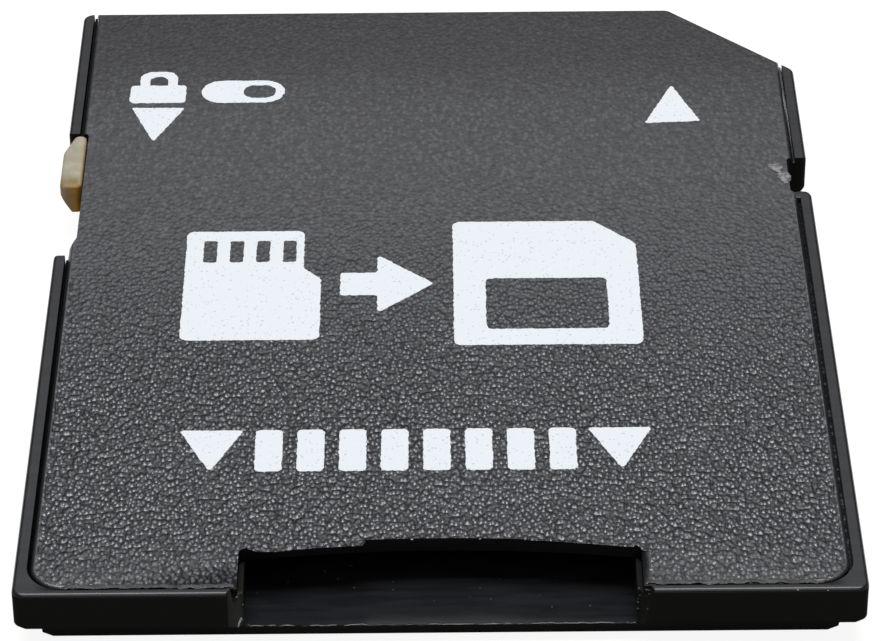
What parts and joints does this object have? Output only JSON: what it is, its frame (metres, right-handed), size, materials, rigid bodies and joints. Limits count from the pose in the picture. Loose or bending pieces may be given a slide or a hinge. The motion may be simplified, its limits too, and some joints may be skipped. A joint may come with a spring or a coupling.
{
  "type": "memory card adapter",
  "caption": "Flat plastic card adapter with an open slot for a small memory card, a sliding write lock, a cut corner and gold contact windows on its underside.",
  "frame": {"origin": "middle of the underside, half way between the slot end and the contact end", "axes": "+X to the cut-corner side and away from the lock slider, +Y towards the contact end, +Z out of the label face"},
  "size_m": [0.0241, 0.032, 0.0021],
  "materials": {
    "smooth_black_plastic": "smooth moulded, slightly glossy",
    "grained_black_plastic": "fine spark-eroded grain with white pad print",
    "tan_plastic": "satin, yellowed and slightly translucent",
    "carrier_plastic": "plain moulded",
    "gold_plated_strip": "thin gold plating over spring strip"
  },
  "bodies": {
    "adapter": {"bottom_shell": "smooth_black_plastic", "top_cover": "grained_black_plastic", "contact_carrier": "carrier_plastic", "terminal_1": "gold_plated_strip", "terminal_2": "gold_plated_strip", "terminal_3": "gold_plated_strip", "terminal_4": "gold_plated_strip", "terminal_5": "gold_plated_strip", "terminal_6": "gold_plated_strip", "terminal_7": "gold_plated_strip", "terminal_8": "gold_plated_strip"},
    "slider": {"lock_slider": "tan_plastic"}
  },
  "joints": [
    {"name": "lock_slide", "type": "slide", "parent": "adapter", "child": "slider", "axis": [0, -1, 0], "range_m": [0, 0.003]}
  ]
}
